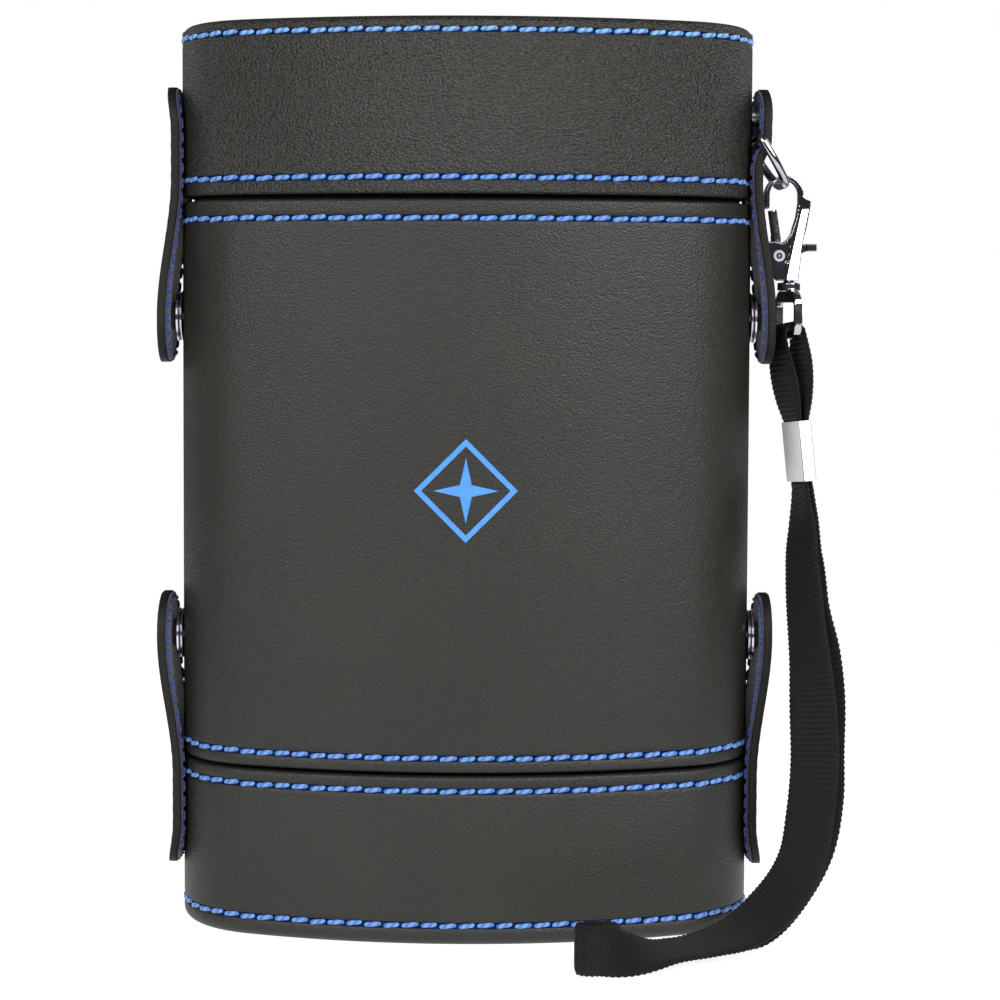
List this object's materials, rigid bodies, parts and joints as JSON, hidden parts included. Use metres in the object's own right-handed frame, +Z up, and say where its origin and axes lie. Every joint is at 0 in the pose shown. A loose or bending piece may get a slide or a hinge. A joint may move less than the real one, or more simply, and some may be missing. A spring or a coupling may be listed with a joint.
{
  "type": "darts case",
  "caption": "Tall leather-wrapped box of oval section for darts, with a lift-off cap at each end, snap straps, a ring, a clasp and a webbing wrist loop.",
  "frame": {"origin": "the middle of the case's underside", "axes": "+Z up along the case, +X to the side with the ring and wrist loop, the front face towards -Y"},
  "size_m": [0.1428, 0.0831, 0.1883],
  "materials": {
    "case_leather": "satin",
    "strap_leather": "satin",
    "strap_lining": "matte",
    "board": "matte",
    "flock": "matte",
    "foam": "matte",
    "snap_metal": "polished",
    "chrome": "polished",
    "webbing": "matte"
  },
  "bodies": {
    "case_body": {"body_core": "board", "body_wrap": "case_leather", "neck_liner": "flock", "partition": "board", "dart_holder": "foam", "snap_studs": "snap_metal", "stud_backs": "snap_metal"},
    "top_cap": {"top_cap_core": "board", "top_cap_wrap": "case_leather", "top_cap_board": "board", "top_cap_end_leather": "case_leather", "top_cap_liner": "flock", "top_cap_pad": "flock", "top_strap_rivets": "snap_metal", "top_left_strap_base": "strap_leather", "top_left_strap_base_lining": "strap_lining", "top_right_strap_base": "strap_leather", "top_right_strap_base_lining": "strap_lining", "ring_rivet": "snap_metal"},
    "bottom_cap": {"bottom_cap_core": "board", "bottom_cap_wrap": "case_leather", "bottom_cap_board": "board", "bottom_cap_end_leather": "case_leather", "bottom_cap_liner": "flock", "bottom_cap_pad": "flock", "bottom_strap_rivets": "snap_metal", "bottom_left_strap_base": "strap_leather", "bottom_left_strap_base_lining": "strap_lining", "bottom_right_strap_base": "strap_leather", "bottom_right_strap_base_lining": "strap_lining"},
    "top_left_flap": {"top_left_strap": "strap_leather", "top_left_strap_lining": "strap_lining", "top_left_socket": "snap_metal"},
    "top_right_flap": {"top_right_strap": "strap_leather", "top_right_strap_lining": "strap_lining", "top_right_socket": "snap_metal"},
    "bottom_left_flap": {"bottom_left_strap": "strap_leather", "bottom_left_strap_lining": "strap_lining", "bottom_left_socket": "snap_metal"},
    "bottom_right_flap": {"bottom_right_strap": "strap_leather", "bottom_right_strap_lining": "strap_lining", "bottom_right_socket": "snap_metal"},
    "ring": {"d_ring": "chrome"},
    "hook": {"hook_body": "chrome", "gate_pin": "chrome", "gate_spring": "chrome"},
    "gate": {"gate_lever": "chrome"},
    "eye": {"swivel_eye": "chrome", "web_upper_loop": "webbing", "ferrule": "chrome", "wrist_loop": "webbing"}
  },
  "joints": [
    {"name": "top_cap_lift", "type": "slide", "parent": "case_body", "child": "top_cap", "axis": [0, 0, 1], "range_m": [0, 0.06]},
    {"name": "bottom_cap_drop", "type": "slide", "parent": "case_body", "child": "bottom_cap", "axis": [0, 0, -1], "range_m": [0, 0.06]},
    {"name": "top_left_flap_fold", "type": "hinge", "parent": "top_cap", "child": "top_left_flap", "pos_m": [-0.06215, 0, 0.1569], "axis": [0, 1, 0], "range_deg": [0, 95]},
    {"name": "top_right_flap_fold", "type": "hinge", "parent": "top_cap", "child": "top_right_flap", "pos_m": [0.06215, 0, 0.1569], "axis": [0, -1, 0], "range_deg": [0, 95]},
    {"name": "bottom_left_flap_fold", "type": "hinge", "parent": "bottom_cap", "child": "bottom_left_flap", "pos_m": [-0.06215, 0, 0.0314], "axis": [0, -1, 0], "range_deg": [0, 95]},
    {"name": "bottom_right_flap_fold", "type": "hinge", "parent": "bottom_cap", "child": "bottom_right_flap", "pos_m": [0.06215, 0, 0.0314], "axis": [0, 1, 0], "range_deg": [0, 95]},
    {"name": "ring_swing", "type": "hinge", "parent": "top_cap", "child": "ring", "pos_m": [0.0609, 0, 0.1653], "axis": [0, -1, 0], "range_deg": [0, 95]},
    {"name": "clasp_swing", "type": "hinge", "parent": "ring", "child": "hook", "pos_m": [0.06663, 0, 0.15603], "axis": [0, -1, 0], "range_deg": [0, 60]},
    {"name": "gate_open", "type": "hinge", "parent": "hook", "child": "gate", "pos_m": [0.06603, 0, 0.14108], "axis": [0, 1, 0], "range_deg": [0, 18], "stiffness_Nm_per_rad": 0.004},
    {"name": "eye_swivel", "type": "hinge", "parent": "hook", "child": "eye", "pos_m": [0.06828, 0, 0.13583], "axis": [0, 0, 1], "range_deg": [-14, 2]}
  ],
  "couplings": [
    {"joint": "top_left_flap_fold", "follows": "top_cap_lift", "rad_per_m": 26.18},
    {"joint": "top_right_flap_fold", "follows": "top_cap_lift", "rad_per_m": 26.18},
    {"joint": "bottom_left_flap_fold", "follows": "bottom_cap_drop", "rad_per_m": 26.18},
    {"joint": "bottom_right_flap_fold", "follows": "bottom_cap_drop", "rad_per_m": 26.18},
    {"joint": "ring_swing", "follows": "top_cap_lift", "rad_per_m": 26.18}
  ]
}
